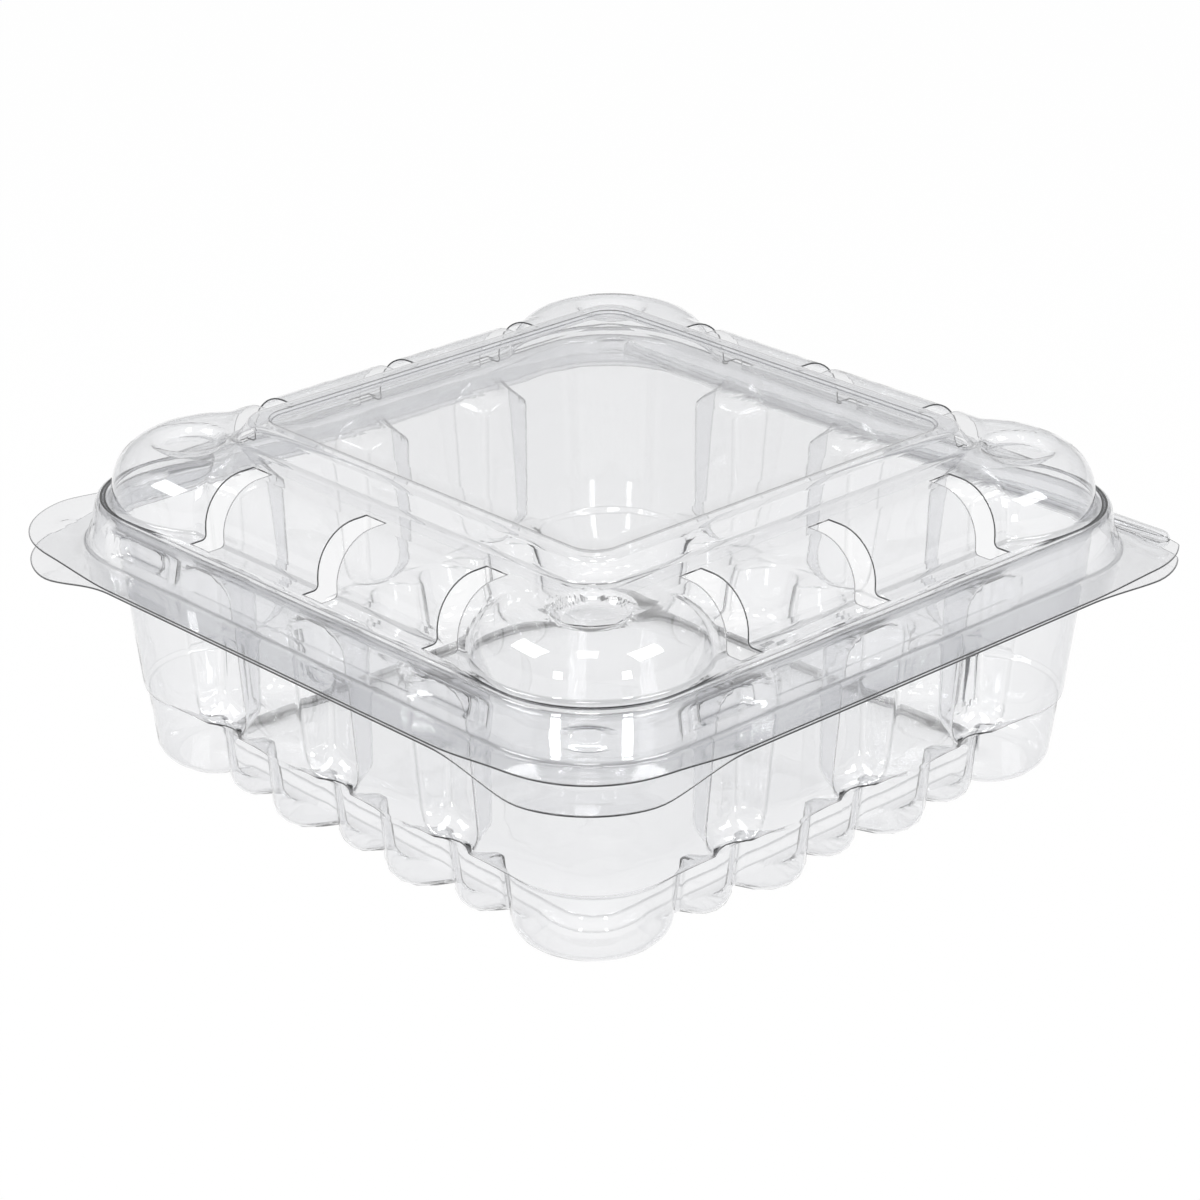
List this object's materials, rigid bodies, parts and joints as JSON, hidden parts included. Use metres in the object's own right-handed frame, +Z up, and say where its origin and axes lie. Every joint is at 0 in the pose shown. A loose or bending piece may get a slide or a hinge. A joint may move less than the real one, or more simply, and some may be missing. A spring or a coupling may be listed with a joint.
{
  "type": "hinged clamshell produce pack",
  "caption": "Square clear plastic clamshell pack: a fluted tray and a vented, domed lid formed from one sheet, joined by a living hinge and held shut by snap pockets.",
  "frame": {"origin": "middle of the footprint (the outline of the flange), on the surface that the feet rest on", "axes": "+Z up, +Y towards the hinge at the back, -Y towards the two finger tabs at the front corners"},
  "size_m": [0.197, 0.1924, 0.082],
  "materials": {
    "clear_plastic": "gloss"
  },
  "bodies": {
    "base": {"base_tray": "clear_plastic"},
    "lid": {"lid": "clear_plastic"}
  },
  "joints": [
    {"name": "lid_hinge", "type": "hinge", "parent": "base", "child": "lid", "pos_m": [0, 0.09635, 0.053], "axis": [-1, 0, 0], "range_deg": [0, 180]}
  ]
}
